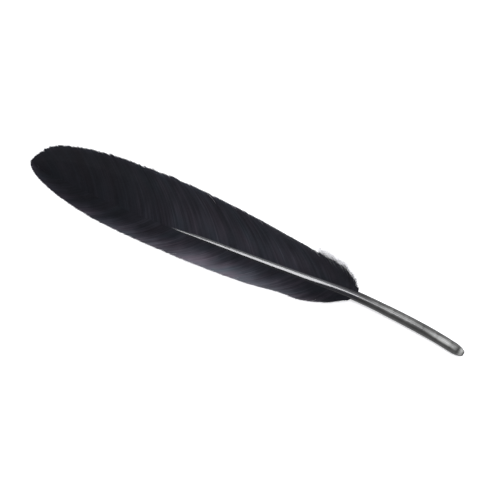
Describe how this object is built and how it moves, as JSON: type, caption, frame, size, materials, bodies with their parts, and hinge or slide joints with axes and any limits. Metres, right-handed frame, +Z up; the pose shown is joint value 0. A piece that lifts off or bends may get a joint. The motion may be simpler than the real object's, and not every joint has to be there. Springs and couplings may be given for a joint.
{
  "type": "feather quill",
  "caption": "Uncut black-dyed wing feather for a quill pen: a hollow horn barrel, a tapering shaft and a cambered vane of zipped barbs with loose down at its foot.",
  "frame": {"origin": "middle of the feather's footprint, on the surface it lies on", "axes": "+X from the trimmed quill end to the tip of the vane, +Y towards the narrow vane, +Z up, out of the feather's back (dorsal) side"},
  "size_m": [0.158, 0.0242, 0.0053],
  "materials": {
    "barrel_horn": "gloss",
    "rachis_horn": "gloss",
    "pith_foam": "matte",
    "pulp_membrane": "matte",
    "vane_web": "satin",
    "down": "matte"
  },
  "bodies": {
    "root": {"calamus_barrel": "barrel_horn", "pulp_cap_1": "pulp_membrane", "pulp_cap_2": "pulp_membrane", "pulp_cap_3": "pulp_membrane", "pulp_cap_4": "pulp_membrane", "pulp_cap_5": "pulp_membrane", "pulp_cap_6": "pulp_membrane", "rachis_cortex": "rachis_horn", "rachis_pith": "pith_foam", "wide_vane_barbs_01": "vane_web", "wide_vane_barbs_02": "vane_web", "wide_vane_barbs_03": "vane_web", "wide_vane_barbs_04": "vane_web", "wide_vane_barbs_05": "vane_web", "wide_vane_barbs_06": "vane_web", "wide_vane_barbs_07": "vane_web", "wide_vane_barbs_08": "vane_web", "wide_vane_barbs_09": "vane_web", "wide_vane_barbs_10": "vane_web", "wide_vane_barbs_11": "vane_web", "wide_vane_barbs_12": "vane_web", "wide_vane_barbs_13": "vane_web", "wide_vane_barbs_14": "vane_web", "narrow_vane_barbs_01": "vane_web", "narrow_vane_barbs_02": "vane_web", "narrow_vane_barbs_03": "vane_web", "narrow_vane_barbs_04": "vane_web", "narrow_vane_barbs_05": "vane_web", "narrow_vane_barbs_06": "vane_web", "narrow_vane_barbs_07": "vane_web", "narrow_vane_barbs_08": "vane_web", "narrow_vane_barbs_09": "vane_web", "narrow_vane_barbs_10": "vane_web", "narrow_vane_barbs_11": "vane_web", "narrow_vane_barbs_12": "vane_web", "tip_barbs": "vane_web", "down_tuft_1": "down", "down_tuft_2": "down", "down_tuft_3": "down", "down_tuft_4": "down"}
  },
  "joints": []
}
